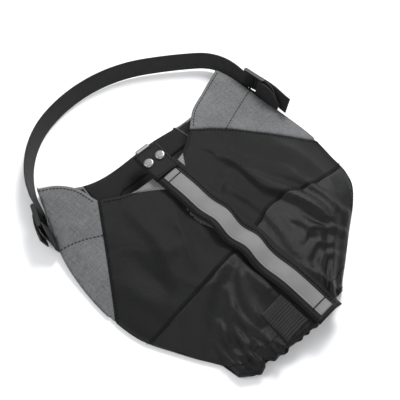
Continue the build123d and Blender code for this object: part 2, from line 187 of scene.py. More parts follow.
# creases that the cloth has taken: plan route, height, width on its left and right, in order of the route
CREASES = [
    ([(46, 62), (53, 40), (52, 20), (52, 4), (60, -10), (67, -28), (73, -50), (71, -68), (80, -84)],
     7.0, 17, 4.5),
    ([(60, 30), (68, 8), (77, -14), (84, -40), (83, -66)], -4.5, 6, 7),
    ([(86, 6), (88, -22), (90, -44), (92, -62), (99, -72)], 4.5, 4, 10),
    ([(40, 45), (22, 36), (6, 26)], -2.2, 5, 4),
    ([(24, 34), (31, 5), (30, -30), (22, -60)], 3.0, 12, 5),
    ([(44, -34), (50, -48), (50, -62), (58, -72)], 3.2, 8, 3.5),
    ([(30, -74), (44, -70), (54, -78), (66, -84)], 3.2, 4, 3.5),
    ([(28, -88), (42, -84), (56, -92)], 3.0, 3.5, 3.5),
    ([(36, -60), (50, -56), (62, -64), (74, -80)], 2.6, 5, 3),
    ([(58, -40), (66, -60), (82, -76)], -3.0, 4, 4),
    ([(-26, -36), (-42, -54), (-50, -70), (-54, -92)], 4.0, 9, 4),
    ([(-20, -34), (-25, -52), (-26, -74)], 3.0, 9, 4),
    ([(-50, -44), (-60, -62), (-61, -84), (-58, -108)], 4.2, 5, 3.5),
    ([(-60, -52), (-72, -70), (-74, -90), (-73, -112)], 4.5, 5, 3.5),
    ([(-76, -60), (-86, -78), (-86, -96), (-84, -112)], 4.5, 4.5, 3.5),
    ([(-92, -66), (-95, -84), (-96, -104)], 4.0, 4, 3),
    ([(-64, -74), (-67, -92), (-66, -116)], 2.8, 2.4, 2.2),
    ([(-76, -80), (-80, -98), (-78, -116)], 2.8, 2.4, 2.2),
    ([(-88, -84), (-91, -98), (-90, -112)], 2.8, 2.2, 2.2),
    ([(-72, -86), (-74, -100), (-72, -114)], -2.2, 2.2, 2.4),
    ([(-10, -30), (-36, -24), (-66, -34), (-96, -56)], 1.5, 5, 10),
    ([(-20, 60), (-36, 30), (-40, 0), (-34, -18)], 2.0, 10, 16),
    ([(-56, 84), (-58, 46), (-72, 10), (-92, -8)], 2.4, 14, 8),
    ([(-92, 60), (-86, 30), (-92, 2), (-112, -24)], -2.0, 9, 12),
    ([(-110, 20), (-104, -10), (-106, -40)], 1.6, 9, 6),
    ([(84, 92), (80, 64), (88, 36), (108, 14)], 2.2, 10, 12),
    ([(100, 40), (110, 10), (112, -20), (106, -48)], 2.2, 6, 10),
    ([(66, 96), (64, 76), (56, 60)], 1.8, 8, 8),
    ([(-120, 130), (-104, 112), (-88, 90)], 1.4, 8, 12),
    ([(104, 118), (92, 100), (86, 80)], 1.2, 8, 10),
]


def add_crease(grid, route, height, left_width, right_width):
    """Raises the cloth along a plan route that fades out at both ends."""
    route = np.asarray(route, float)
    run = run_along(route)
    at = np.linspace(0, run[-1], int(run[-1] / 3) + 2)
    line = np.stack([smooth(list(zip(run, route[:, k])))(at) for k in range(2)], -1)
    heading = np.gradient(line, axis=0)
    offset = np.stack([x_grid, y_grid], -1)[:, :, None] - line
    gap = np.linalg.norm(offset, axis=-1)
    nearest = gap.argmin(-1)
    pick = np.take_along_axis(offset, nearest[..., None, None], 2)[:, :, 0]
    side = heading[nearest, 0] * pick[..., 1] - heading[nearest, 1] * pick[..., 0]
    width = np.where(side > 0, left_width, right_width)
    fade = np.sin(math.pi * np.clip(at / run[-1] * 0.9 + 0.05, 0, 1)) ** 0.6
    grid[..., 2] += height * fade[nearest] * np.exp(-((gap.min(-1) / width) ** 2))


for route, height, left_width, right_width in CREASES:
    add_crease(front_grid, route, height, left_width, right_width)

# small creases: short ones that run in from the cuff, and soft long ones over the panels
draw = np.random.default_rng(21)
for _ in range(46):
    s, length, turn = draw.uniform(-0.97, 0.97), draw.uniform(14, 44), draw.uniform(-9, 9)
    x, y = plan_of(s, 0.0)
    if abs(x - CLOSURE_X) < 18 or abs(x - PATCH_X) < 18:
        continue
    route = [(x, y), (x + 0.3 * turn, y + length / 2), (x + turn, y + length)]
    add_crease(front_grid, route, draw.uniform(0.8, 2.0), draw.uniform(2.5, 5), draw.uniform(2, 4))
for _ in range(70):
    x, y = draw.uniform(-120, 120), draw.uniform(-90, 130)
    if abs(x - CLOSURE_X) < 26:
        continue
    heading, length = math.radians(draw.normal(82, 34)), draw.uniform(18, 62)
    step = 0.5 * length * np.array([math.cos(heading), math.sin(heading)])
    bow = 0.12 * length * draw.normal() * np.array([-math.sin(heading), math.cos(heading)])
    middle = np.array([x, y])
    soft = 0.5 if y > 60 else 1.0
    add_crease(front_grid, [middle - step, middle + bow, middle + step], soft * draw.uniform(-0.9, 1.3),
               draw.uniform(3, 9), draw.uniform(3, 9))
edge_fade = np.clip((1 - np.abs(s_grid)) / 0.05, 0, 1) ** 0.5
strip_fade = 1 - np.exp(-(((x_grid - CLOSURE_X) / 17) ** 6))
calm = front_height(x_grid, y_grid)
front_grid[..., 2] = calm + (front_grid[..., 2] - calm) * edge_fade * strip_fade
front_grid[..., 2] = np.maximum(front_grid[..., 2], LOWEST_FRONT)


def sample(grid, s, v):
    """Points of a grid at s and v, smoothed between its own points by cubics."""
    u = (np.asarray(s) + 1) / 2 * (COLUMNS - 1)
    w = np.asarray(v) * (ROWS - 1)
    i = np.clip(np.floor(u).astype(int), 0, COLUMNS - 2)
    j = np.clip(np.floor(w).astype(int), 0, ROWS - 2)
    total = 0
    for di, wi in zip((-1, 0, 1, 2), cubic(u - i)):
        row = 0
        for dj, wj in zip((-1, 0, 1, 2), cubic(w - j)):
            row = row + wj[..., None] * grid[np.clip(i + di, 0, COLUMNS - 1), np.clip(j + dj, 0, ROWS - 1)]
        total = total + wi[..., None] * row
    return total


def cubic(t):
    """Catmull-Rom weights of the four points round t."""
    return (
        ((2 - t) * t - 1) * t / 2,
        ((3 * t - 5) * t * t + 2) / 2,
        ((4 - 3 * t) * t + 1) * t / 2,
        (t - 1) * t * t / 2,
    )


# the panels' inner face; deeper layers are set straight in, so that they don't cross in a gather
INSIDE = -0.9


def surface(x, y, out=0.0):
    """Points on the folded sheet at plan positions, moved out from its outer face (negative is inwards)."""
    x, y = np.asarray(x, float), np.asarray(y, float)
    left, right = LEFT_SIDE(y), RIGHT_SIDE(y)
    behind = (x < left) | (x > right)
    folded = np.where(x < left, 2 * left - x, np.where(x > right, 2 * right - x, x))
    s = np.clip(across(folded, y), -1, 1)
    v = (y - CUFF_EDGE(s)) / (BOOT_EDGE - CUFF_EDGE(s))

    def place(s, v):
        turn = np.clip((1 - np.abs(s)) / 0.012, 0, 1)[..., None]  # the back meets the front at the folds
        front = sample(front_grid, s, v)
        back = sample(back_grid, s, v)
        return np.where(behind[..., None], back * turn + front * (1 - turn), front)

    step = 0.004
    at = place(s, v)
    ds = place(np.clip(s + step, -1, 1), v) - place(np.clip(s - step, -1, 1), v)
    dv = place(s, v + step) - place(s, v - step)
    normal = unit(np.cross(ds, dv))
    normal = np.where(behind[..., None], -normal, normal)
    # at the fold itself the sheet faces sideways
    side = np.clip((np.abs(s) - 0.985) / 0.015, 0, 1)[..., None]
    sideways = np.stack([np.sign(s), 0 * s, 0 * s], -1)
    normal = unit(normal * (1 - side) + sideways * side)
    inwards = np.where(behind[..., None], (0, 0, 1.0), (0, 0, -1.0)) * (1 - side) - sideways * side
    out = np.asarray(out, float)[..., None]
    return at + normal * np.maximum(out, INSIDE) + inwards * np.maximum(INSIDE - out, 0)


# ---------------- materials
class Paint:
    """A node material in the making."""

    def __init__(self, name):
        self.material = bpy.data.materials.new(name)
        self.material.use_nodes = True
        self.nodes = self.material.node_tree.nodes
        self.links = self.material.node_tree.links
        self.shader = self.nodes["Principled BSDF"]
        self.coords = self.nodes.new("ShaderNodeTexCoord")

    def set(self, **values):
        """Constants on the shader's own sockets."""
        for name, value in values.items():
            self.shader.inputs[name.replace("_", " ")].default_value = value

    def maths(self, operation, a, b=None, c=None):
        node = self.nodes.new("ShaderNodeMath")
        node.operation = operation
        for socket, value in zip(node.inputs, (a, b, c)):
            if value is None:
                continue
            if isinstance(value, (int, float)):
                socket.default_value = value
            else:
                self.links.new(value, socket)
        return node.outputs[0]

    def split(self, source="UV"):
        node = self.nodes.new("ShaderNodeSeparateXYZ")
        self.links.new(self.coords.outputs[source], node.inputs[0])
        return node.outputs

    def bands(self, value, period):
        """A sine of a coordinate, from -1 to 1, one wave to each period in metres."""
        return self.maths("SINE", self.maths("MULTIPLY", value, 2 * math.pi / period))

    def noise(self, scale, detail=3, source="Object", rough=0.55, stretch=None):
        node = self.nodes.new("ShaderNodeTexNoise")
        node.inputs["Scale"].default_value = scale
        node.inputs["Detail"].default_value = detail
        node.inputs["Roughness"].default_value = rough
        place = self.coords.outputs[source]
        if stretch:
            mapping = self.nodes.new("ShaderNodeMapping")
            mapping.inputs["Scale"].default_value = stretch
            self.links.new(place, mapping.inputs["Vector"])
            place = mapping.outputs["Vector"]
        self.links.new(place, node.inputs["Vector"])
        return node.outputs["Fac"]

    def mix(self, factor, low, high):
        node = self.nodes.new("ShaderNodeMix")
        node.data_type = "RGBA"
        self.links.new(factor, node.inputs["Factor"])
        for socket, value in ((node.inputs["A"], low), (node.inputs["B"], high)):
            if isinstance(value, tuple):
                socket.default_value = (*value, 1)
            else:
                self.links.new(value, socket)
        return node.outputs["Result"]

    def colour(self, source):
        self.links.new(source, self.shader.inputs["Base Color"])

    def rough(self, source, low, high):
        node = self.nodes.new("ShaderNodeMapRange")
        node.inputs["To Min"].default_value = low
        node.inputs["To Max"].default_value = high
        self.links.new(source, node.inputs["Value"])
        self.links.new(node.outputs[0], self.shader.inputs["Roughness"])

    def bump(self, *layers):
        """Bumps of (height, depth in millimetres), finest last."""
        normal = None
        for height, depth in layers:
            node = self.nodes.new("ShaderNodeBump")
            node.inputs["Strength"].default_value = 1.0
            node.inputs["Distance"].default_value = depth * MM
            self.links.new(height, node.inputs["Height"])
            if normal is not None:
                self.links.new(normal, node.inputs["Normal"])
            normal = node.outputs["Normal"]
        self.links.new(normal, self.shader.inputs["Normal"])


def grey(level, warm=0.0):
    """A near-neutral colour of a linear level."""
    return (level * (1 + warm), level, level * (1 - warm))


def woven(name, level, thread, contrast=0.25, roughness=(0.6, 0.8), sheen=0.05, crease=0.35, streak=0.0,
          depth=0.10, gloss=0.15):
    """Plain-woven cloth with threads of a width in millimetres."""
    paint = Paint(name)
    u, v, _ = paint.split()
    period = 2 * thread * MM
    checks = paint.maths("MULTIPLY", paint.bands(u, period), paint.bands(v, period))
    slub = paint.noise(420, 2, "UV")
    worn = paint.noise(24, 4)
    blend = paint.maths("ADD", paint.maths("MULTIPLY", checks, 0.28), paint.maths("MULTIPLY", slub, 0.9))
    blend = paint.maths("ADD", blend, paint.maths("MULTIPLY", paint.maths("SUBTRACT", worn, 0.5), 0.9))
    if streak:
        for stretch in ((900, 60, 1), (60, 900, 1)):  # uneven yarns show as streaks both ways
            uneven = paint.maths("SUBTRACT", paint.noise(1, 3, "UV", stretch=stretch), 0.5)
            blend = paint.maths("ADD", blend, paint.maths("MULTIPLY", uneven, streak))
    paint.colour(paint.mix(blend, grey(level * (1 - contrast), -0.02), grey(level * (1 + contrast), -0.02)))
    paint.rough(worn, *roughness)
    paint.set(Sheen_Weight=sheen, Sheen_Roughness=0.45, Specular_IOR_Level=gloss)
    paint.bump((paint.noise(75, 3), crease), (checks, depth))
    return paint.material


RIPSTOP_PITCH = 4.6 * MM


def ripstop(name, level):
    """Light cloth with a grid of thicker threads."""
    paint = Paint(name)
    u, v, _ = paint.split()
    waves = [paint.maths("ABSOLUTE", paint.bands(at, RIPSTOP_PITCH)) for at in (u, v)]
    grid = paint.maths("MAXIMUM", *[paint.maths("POWER", wave, 12.0) for wave in waves])
    worn = paint.noise(60, 3)
    fill = paint.mix(worn, grey(level * 0.8), grey(level * 1.15))
    paint.colour(paint.mix(paint.maths("MULTIPLY", grid, 0.8), fill, grey(level * 0.4)))
    paint.rough(worn, 0.45, 0.65)
    paint.set(Sheen_Weight=0.15)
    paint.bump((worn, 0.5), (grid, 0.15))
    return paint.material


def ribbed(name, level, rib, cross=0.0, roughness=(0.5, 0.7), sheen=0.15):
    """Webbing with ribs across it: v runs along its length."""
    paint = Paint(name)
    u, v, _ = paint.split()
    ribs = paint.bands(v, rib * MM)
    cords = paint.bands(u, 1.7 * MM)
    weave = paint.maths("MULTIPLY", ribs, paint.maths("ADD", paint.maths("MULTIPLY", cords, 0.5), 0.6))
    worn = paint.noise(90, 4)
    light = paint.maths("ADD", paint.maths("MULTIPLY", weave, 0.35), worn)
    paint.colour(paint.mix(light, grey(level * 0.55), grey(level * 1.5)))
    paint.rough(worn, *roughness)
    paint.set(Sheen_Weight=sheen, Sheen_Roughness=0.4, Specular_IOR_Level=0.22)
    paint.bump((worn, 0.2), (weave, 0.22 + cross))
    return paint.material


def pile(name, level, size, depth):
    """Hook or loop tape: a bed of small tufts."""
    paint = Paint(name)
    cells = paint.nodes.new("ShaderNodeTexVoronoi")
    cells.inputs["Scale"].default_value = 1 / (size * MM)
    paint.links.new(paint.coords.outputs["UV"], cells.inputs["Vector"])
    fuzz = paint.noise(1500, 2, "UV")
    height = paint.maths("SUBTRACT", paint.maths("MULTIPLY", fuzz, 0.6), cells.outputs["Distance"])
    paint.colour(paint.mix(fuzz, grey(level * 0.4), grey(level * 1.9)))
    paint.rough(fuzz, 0.75, 0.95)
    paint.set(Sheen_Weight=0.35, Sheen_Roughness=0.5)
    paint.bump((height, depth))
    return paint.material


def reflector(name, level):
    """Silver-grey glass-bead tape: a fine lattice; its brighter edges are strips of their own."""
    paint = Paint(name)
    u, v, _ = paint.split()
    lattice = paint.maths("MULTIPLY", paint.bands(paint.maths("ADD", u, v), 1.5 * MM),
                          paint.bands(paint.maths("SUBTRACT", u, v), 1.5 * MM))
    worn = paint.noise(55, 4)
    light = paint.maths("ADD", paint.maths("MULTIPLY", lattice, 0.1), worn)
    paint.colour(paint.mix(light, grey(level * 0.8, 0.01), grey(level * 1.2, 0.01)))
    paint.rough(worn, 0.5, 0.65)
    paint.set(Specular_IOR_Level=0.25)
    paint.bump((worn, 0.25), (lattice, 0.04))
    return paint.material


def solid(name, level, wear, grain, shades, roughness, depth, warm=0.0, **shader):
    """Plastic, metal or thread: worn patches over a fine grain, each given as a noise's scale and detail."""
    paint = Paint(name)
    worn, fine = paint.noise(*wear), paint.noise(*grain)
    paint.colour(paint.mix(worn, *[grey(level * shade, warm) for shade in shades]))
    paint.rough(worn, *roughness)
    paint.set(**shader)
    paint.bump((fine, depth))
    return paint.material


OXFORD = woven("black_oxford_cloth", 0.0075, 0.55, contrast=0.4, roughness=(0.36, 0.5), sheen=0.02,
               crease=0.5, gloss=0.12)
NYLON = woven("black_nylon_cloth", 0.006, 0.3, contrast=0.3, roughness=(0.28, 0.42), sheen=0.01, crease=0.6,
              depth=0.04, gloss=0.18)
GREY = woven("grey_oxford_cloth", 0.122, 0.6, contrast=0.42, sheen=0.08, crease=0.5, streak=0.9)
LINING = woven("black_lining_cloth", 0.0075, 0.3, roughness=(0.5, 0.68), sheen=0.01, depth=0.04, gloss=0.12)
RIPSTOP = ripstop("grey_ripstop_cloth", 0.15)
WEBBING = ribbed("black_webbing", 0.016, 1.5, sheen=0.03)
ELASTIC = ribbed("ribbed_elastic", 0.018, 2.2, roughness=(0.6, 0.8))
LOOP_PATCH = ribbed("ribbed_loop_patch", 0.02, 2.6, cross=0.2, roughness=(0.8, 0.95), sheen=0.1)
HOOKS = pile("hook_tape_bed", 0.016, 1.1, 0.5)
LOOPS = pile("loop_tape_bed", 0.012, 0.8, 0.35)
SILVER = reflector("silver_reflective_tape", 0.155)
SILVER_EDGE = woven("pale_tape_edge", 0.2, 0.4, contrast=0.15, roughness=(0.5, 0.65))
PLASTIC = solid("black_acetal", 0.012, (140, 3), (2600, 2), (0.75, 1.3), (0.42, 0.58), 0.03,
                Specular_IOR_Level=0.28)
plate = {"wear": (260, 5), "grain": (1400, 2), "shades": (0.75, 1.15), "depth": 0.012, "warm": 0.02,
         "Metallic": 1.0}
STEEL = solid("nickel_plated_steel", 0.52, roughness=(0.2, 0.38), **plate)
CAPS = solid("dull_rivet_steel", 0.3, roughness=(0.25, 0.4), **plate)
BLACK_THREAD = solid("black_thread", 0.004, (2200, 1), (2200, 1), (0.6, 1.4), (0.55, 0.75), 0.08,
                     Specular_IOR_Level=0.1)


# ---------------- making pieces
def finish_piece(piece, body, material, slot, *nodes):
    """Gives a piece its material and its body, and hides the CAD nodes that it stands for."""
    piece.data.materials.clear()
    piece.data.materials.append(material)
    for face in piece.data.polygons:
        face.use_smooth = True
    if body:
        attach(piece, body)
    if nodes:
        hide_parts(*nodes)
    return piece


def new_mesh(name, points, faces, uv=None):
    """An object from points in millimetres, with a UV map in metres of cloth."""
    mesh = bpy.data.meshes.new(name)
    mesh.from_pydata((np.asarray(points) * MM).tolist(), [], [list(map(int, f)) for f in faces])
    if uv is not None:
        layer = mesh.uv_layers.new(name="cloth")
        corner = np.empty(len(mesh.loops), int)
        mesh.loops.foreach_get("vertex_index", corner)
        layer.data.foreach_set("uv", (np.asarray(uv)[corner] * MM).ravel())
    mesh.validate()
    piece = bpy.data.objects.new(name, mesh)
    bpy.context.scene.collection.objects.link(piece)
    return piece


def resample(outline, pitch):
    """Evenly spaced points round a closed outline, its corners kept."""
    points = []
    for a, b in zip(outline, np.roll(outline, -1, axis=0)):
        count = max(1, int(round(np.linalg.norm(b - a) / pitch)))
        points.extend(a + (b - a) * k / count for k in range(count))
    return np.array(points)


def even(route, pitch):
    """Points at an even pitch along an open route, with the direction at each."""
    route = np.asarray(route, float)
    run = run_along(route)
    at = np.linspace(0, run[-1], max(2, int(run[-1] / pitch) + 1))
    return np.stack([np.interp(at, run, route[:, k]) for k in range(route.shape[1])], -1), at


def curve_through(points, pitch=2.0):
    """A smooth open route through plan points."""
    points = np.asarray(points, float)
    run = run_along(points)
    at = np.linspace(0, run[-1], max(2, int(run[-1] / pitch) + 1))
    return np.stack([smooth(list(zip(run, points[:, k])))(at) for k in range(2)], -1)


def edge_distance(points, outline):
    """Distance of plan points to a closed outline."""
    best = np.full(len(points), np.inf)
    for start, end in zip(outline, np.roll(outline, -1, axis=0)):
        d = end - start
        t = np.clip(((points - start) @ d) / (d @ d + 1e-12), 0, 1)
        best = np.minimum(best, np.linalg.norm(points - start - t[:, None] * d, axis=1))
    return best


def inside(points, outline):
    """Whether plan points lie in a closed outline."""
    x, y = points.T
    hit = np.zeros(len(points), bool)
    for (x0, y0), (x1, y1) in zip(outline, np.roll(outline, -1, axis=0)):
        crosses = (y0 > y) != (y1 > y)
        hit ^= crosses & (x < (x1 - x0) * (y - y0) / (y1 - y0 + 1e-12) + x0)
    return hit


def cloth_piece(name, outline, out=0.0, thick=0.9, cell=2.6, dip=0.6, place=surface, extra=None):
    """A closed sheet of cloth cut to a plan outline and laid on the sleeve's surface."""
    outline = resample(np.asarray(outline, float), cell * 0.8)
    low, high = outline.min(0), outline.max(0)
    columns = np.arange(low[0], high[0], cell)
    rows = np.arange(low[1], high[1], cell * 0.866)
    lattice = np.array([(x + (j % 2) * cell / 2, y) for j, y in enumerate(rows) for x in columns])
    lattice = lattice[inside(lattice, outline)]
    for fold in (LEFT_SIDE, RIGHT_SIDE):  # a row of points lies on each fold
        side = fold(lattice[:, 1])
        lattice[:, 0] = np.where(np.abs(lattice[:, 0] - side) < cell * 0.5, side, lattice[:, 0])
    gap = edge_distance(lattice, outline)
    lattice = lattice[gap > cell * 0.55]
    count = len(outline)
    flat = [Vector(p) for p in np.vstack([outline, lattice])]
    ring = [(i, (i + 1) % count) for i in range(count)]
    verts, _, faces, _, _, _ = delaunay_2d_cdt(flat, ring, [], 1, 1e-5)
    plan = np.array([tuple(v) for v in verts])
    faces = [f for f in faces if len(f) >= 3]
    border = edge_distance(plan, outline)
    lift = out - dip * np.clip(1 - border / 2.4, 0, 1) ** 2
    if extra is not None:
        lift = lift + extra(plan)
    top = place(plan[:, 0], plan[:, 1], lift)
    bottom = place(plan[:, 0], plan[:, 1], lift - thick)
    used = {}
    for f in faces:
        for a, b in zip(f, list(f[1:]) + [f[0]]):
            used[(a, b)] = used.get((a, b), 0) + 1
    rim = [(a, b) for (a, b) in used if (b, a) not in used]
    n = len(plan)
    solid = [tuple(f) for f in faces] + [tuple(reversed([i + n for i in f])) for f in faces]
    solid += [(b, a, a + n, b + n) for a, b in rim]
    piece = new_mesh(name, np.vstack([top, bottom]), solid, np.vstack([plan, plan]))
    tidy_normals(piece)
    return piece


def tidy_normals(piece):
    """Turns every face of a closed piece outwards."""
    work = bmesh.new()
    work.from_mesh(piece.data)
    bmesh.ops.recalc_face_normals(work, faces=work.faces)
    work.to_mesh(piece.data)
    work.free()


def tube_faces(count, sides, first=0):
    """Faces of a capped tube through rings of points, numbered ring by ring from the first."""
    faces = []
    for i in range(first, first + (count - 1) * sides, sides):
        for j in range(sides):
            k = (j + 1) % sides
            faces.append((i + j, i + k, i + sides + k, i + sides + j))
    faces.append(tuple(first + j for j in reversed(range(sides))))
    faces.append(tuple(first + (count - 1) * sides + j for j in range(sides)))
    return faces


def loft_rings(name, rings, uv_rings):
    """A tube through rings of points, capped at both ends."""
    faces = tube_faces(*rings.shape[:2])
    piece = new_mesh(name, rings.reshape(-1, 3), faces, uv_rings.reshape(-1, 2))
    tidy_normals(piece)
    return piece


THREAD = 0.42
STITCH, STITCH_GAP = 2.5, 1.0
THREAD_SIDES = 6


def stitch_run(name, routes, out=0.12, place=surface, body="root", slot="black_nylon", gap=STITCH_GAP):
    """Topstitching: short threads sunk at both ends, along plan routes."""
    points, faces = [], []
    along = np.array([-0.5, -0.36, 0, 0.36, 0.5]) * STITCH
    sink = np.array([-0.55, 0.0, 0.16, 0.0, -0.55])
    angle = np.linspace(0, 2 * math.pi, THREAD_SIDES, endpoint=False)
    for route in routes:
        centre, _ = even(route, STITCH + gap)
        direction = unit(np.gradient(centre, axis=0))
        plan = centre[:, None] + along[None, :, None] * direction[:, None]
        line = place(plan[..., 0], plan[..., 1], np.full(plan.shape[:2], out) + sink)
        above = place(plan[..., 0], plan[..., 1], np.full(plan.shape[:2], out + 1.0) + sink) - line
        forward = unit(np.gradient(line, axis=1))
        side = unit(np.cross(forward, above))
        for i in range(len(centre)):
            faces += tube_faces(len(along), THREAD_SIDES, len(points))
            for k in range(len(along)):
                for a in angle:
                    arm = math.cos(a) * side[i, k] + math.sin(a) * above[i, k]
                    points.append(line[i, k] + THREAD * arm)
    piece = new_mesh(name, points, faces, np.array(points)[:, :2])
    tidy_normals(piece)
    return finish_piece(piece, body, BLACK_THREAD, slot)


# ---------------- plan outlines
def side_points(fold, start, end):
    """Points up or down a side fold."""
    y = np.linspace(start, end, 24)
    return np.stack([fold(y), y], -1)


def behind(points, fold=LEFT_SIDE):
    """Plan points of the back, as places on the unfolded sheet past one side fold."""
    points = np.asarray(points, float)
    return np.stack([2 * fold(points[:, 1]) - points[:, 0], points[:, 1]], -1)


def cuff_route(start, end, count=60):
    """Points along the cuff's edge between two places across."""
    s = np.linspace(start, end, count)
    return np.stack(plan_of(s, np.zeros(count)), -1)


SEAM_Y = -24.0
LEFT_CORNER, RIGHT_CORNER = np.array([-69.0, 113.0]), np.array([50.0, 104.0])
LEFT_FOOT, RIGHT_FOOT = np.array([-140.0, 15.0]), np.array([138.0, 9.0])
LEFT_TIP, RIGHT_TIP = np.array([LEFT_SIDE(169.0), 169.0]), np.array([RIGHT_SIDE(138.0), 138.0])
FRONT_HEM = curve_through([LEFT_CORNER, (-44, 95), (-12, 89.5), (20, 88), RIGHT_CORNER])
LEFT_WING_HEM = curve_through([LEFT_TIP, (-84, 156), (-74, 140), LEFT_CORNER])
RIGHT_WING_HEM = curve_through([RIGHT_CORNER, (68, 118), (92, 127), RIGHT_TIP])
BACK_HEM = curve_through([LEFT_TIP, (-60, 139), (18, 128), (77, 121), RIGHT_TIP])
LEFT_SEAM = curve_through([LEFT_FOOT, (-106, 61), LEFT_CORNER])
RIGHT_SEAM = curve_through([RIGHT_CORNER, (95, 58), RIGHT_FOOT])
UNDERLAP_X, RIGHT_FRONT_X = 8.0, 10.0  # the front halves end here, under the flap
YOKE = smooth([
    (-140, -24), (-60, -23), (-20, -21), (18, -18), (40, -13), (62, -15), (85, -23), (110, -27), (136, -27),
])


def yoke_seam(start, end):
    """The seam between boot-end and cuff-end cloth, which bows a little towards the cuff."""
    x = np.linspace(start, end, 30)
    return np.stack([x, YOKE(x)], -1)


def part_of(route, low, high):
    """The stretch of a route whose x lies between two values."""
    return route[(route[:, 0] > low) & (route[:, 0] < high)]


def hem_at(x):
    """The front hem's y at a place across."""
    return float(np.interp(x, FRONT_HEM[:, 0], FRONT_HEM[:, 1]))


def cuff_s(x):
    """Where the cuff's edge passes a plan x."""
    s = np.linspace(-1, 1, 400)
    return float(np.interp(x, plan_of(s, np.zeros(400))[0], s))


LEFT_YOKE = yoke_seam(UNDERLAP_X, float(LEFT_SIDE(SEAM_Y)))
RIGHT_YOKE = yoke_seam(RIGHT_FRONT_X, float(RIGHT_SIDE(SEAM_Y)))
left_lower = np.vstack([
    LEFT_YOKE, side_points(LEFT_SIDE, -21, 13), LEFT_SEAM, part_of(FRONT_HEM, -68, UNDERLAP_X),
    [(UNDERLAP_X, hem_at(UNDERLAP_X))],
])
left_upper = np.vstack([LEFT_YOKE, side_points(LEFT_SIDE, -26, -109), cuff_route(-1, cuff_s(UNDERLAP_X))])
right_lower = np.vstack([
    RIGHT_YOKE, side_points(RIGHT_SIDE, -22, 7), RIGHT_SEAM[::-1],
    part_of(FRONT_HEM, RIGHT_FRONT_X, 49)[::-1], [(RIGHT_FRONT_X, hem_at(RIGHT_FRONT_X))],
])
right_upper = np.vstack([
    RIGHT_YOKE, side_points(RIGHT_SIDE, -26, -114), cuff_route(1, cuff_s(RIGHT_FRONT_X)),
])
LEFT_BACK_SEAM, RIGHT_BACK_SEAM = (-64, 141), (47, 124.5)
BACK_YOKE = yoke_seam(LEFT_SIDE(SEAM_Y), RIGHT_SIDE(SEAM_Y))
left_wing = np.vstack([
    LEFT_SEAM[::-1], behind([LEFT_CORNER, LEFT_BACK_SEAM]), behind(part_of(BACK_HEM, -200, -65)[::-1]),
    LEFT_WING_HEM[:-1],
])
right_wing = np.vstack([
    RIGHT_SEAM, behind([RIGHT_CORNER, RIGHT_BACK_SEAM], RIGHT_SIDE),
    behind(part_of(BACK_HEM, 48, 200), RIGHT_SIDE), RIGHT_WING_HEM[::-1][:-1],
])
back_lower = behind(np.vstack([
    BACK_YOKE, side_points(RIGHT_SIDE, -22, 7), RIGHT_SEAM[::-1], [RIGHT_BACK_SEAM],
    part_of(BACK_HEM, -63, 46)[::-1], [LEFT_BACK_SEAM], LEFT_SEAM[::-1], side_points(LEFT_SIDE, 13, -22),
]))
back_upper = behind(np.vstack([
    BACK_YOKE, side_points(RIGHT_SIDE, -26, -114), cuff_route(1, -1), side_points(LEFT_SIDE, -109, -26),
]))



def lay(name, outline, body, paint, kind, node, **cut):
    """Cuts a sheet of cloth, lays it in place, gives it its body and material and hides the CAD node that it
    stands for.
    """
    return finish_piece(cloth_piece(name, outline, **cut), body, paint, kind, node)


for name, outline, paint, kind, cell in (
    ("left_front_lower", left_lower, OXFORD, "black_oxford", 2.0),
    ("left_front_upper", left_upper, NYLON, "black_nylon", 2.0),
    ("right_front_lower", right_lower, OXFORD, "black_oxford", 2.0),
    ("right_front_upper", right_upper, NYLON, "black_nylon", 2.0),
    ("back_lower", back_lower, OXFORD, "black_oxford", 3.6),
    ("back_upper", back_upper, NYLON, "black_nylon", 3.6),
):
    lay(name + "_cloth", outline, "root", paint, kind, name + "_panel", cell=cell)
lay("left_wing_cloth", left_wing, "root", GREY, "grey_oxford", "left_side_wing")
lay("right_wing_cloth", right_wing, "root", GREY, "grey_oxford", "right_side_wing")

# ---------------- facings, casing and elastic inside

LINING_OUT = INSIDE - 0.1
wing_facing = {"out": LINING_OUT, "thick": 0.5, "cell": 3.4, "dip": -0.35}
left_facing = np.vstack([part_of(LEFT_WING_HEM, -97, -70), [(-74, 84), (-116, 118)]])
right_facing = np.vstack([part_of(RIGHT_WING_HEM, 52, 116), [(118, 96), (72, 76)]])
lay("left_wing_lining", left_facing, "root", LINING, "facing", "left_wing_facing", **wing_facing)
lay("right_wing_lining", right_facing, "root", LINING, "facing", "right_wing_facing", **wing_facing)
back_lining = np.vstack([
    part_of(BACK_HEM, -93, 112), [(112, 102), (80, 94), (40, 100), (-40, 108), (-76, 94), (-97, 128)],
])
lay("back_hem_lining", behind(back_lining), "root", LINING, "facing", "back_hem_facing",
    out=LINING_OUT, thick=0.3, cell=3.0, dip=-0.3)


def cuff_band(start, end, near, far):
    """An outline along the cuff between two distances from its edge."""
    s = np.linspace(start, end, 60)
    length = BOOT_EDGE - CUFF_EDGE(s)
    return np.vstack([np.stack(plan_of(s, near / length), -1), np.stack(plan_of(s, far / length), -1)[::-1]])


lay("cuff_elastic_band", cuff_band(-0.94, 0.94, 4, 13), "root", ELASTIC, "elastic", "cuff_elastic",
    out=LINING_OUT, thick=0.8, cell=2.8, dip=0.0)
lay("cuff_casing_cloth", cuff_band(-0.96, 0.96, 1.8, 16), "root", NYLON, "black_nylon", "cuff_casing",
    out=INSIDE - 1.0, thick=0.6, cell=2.8, dip=-0.8)

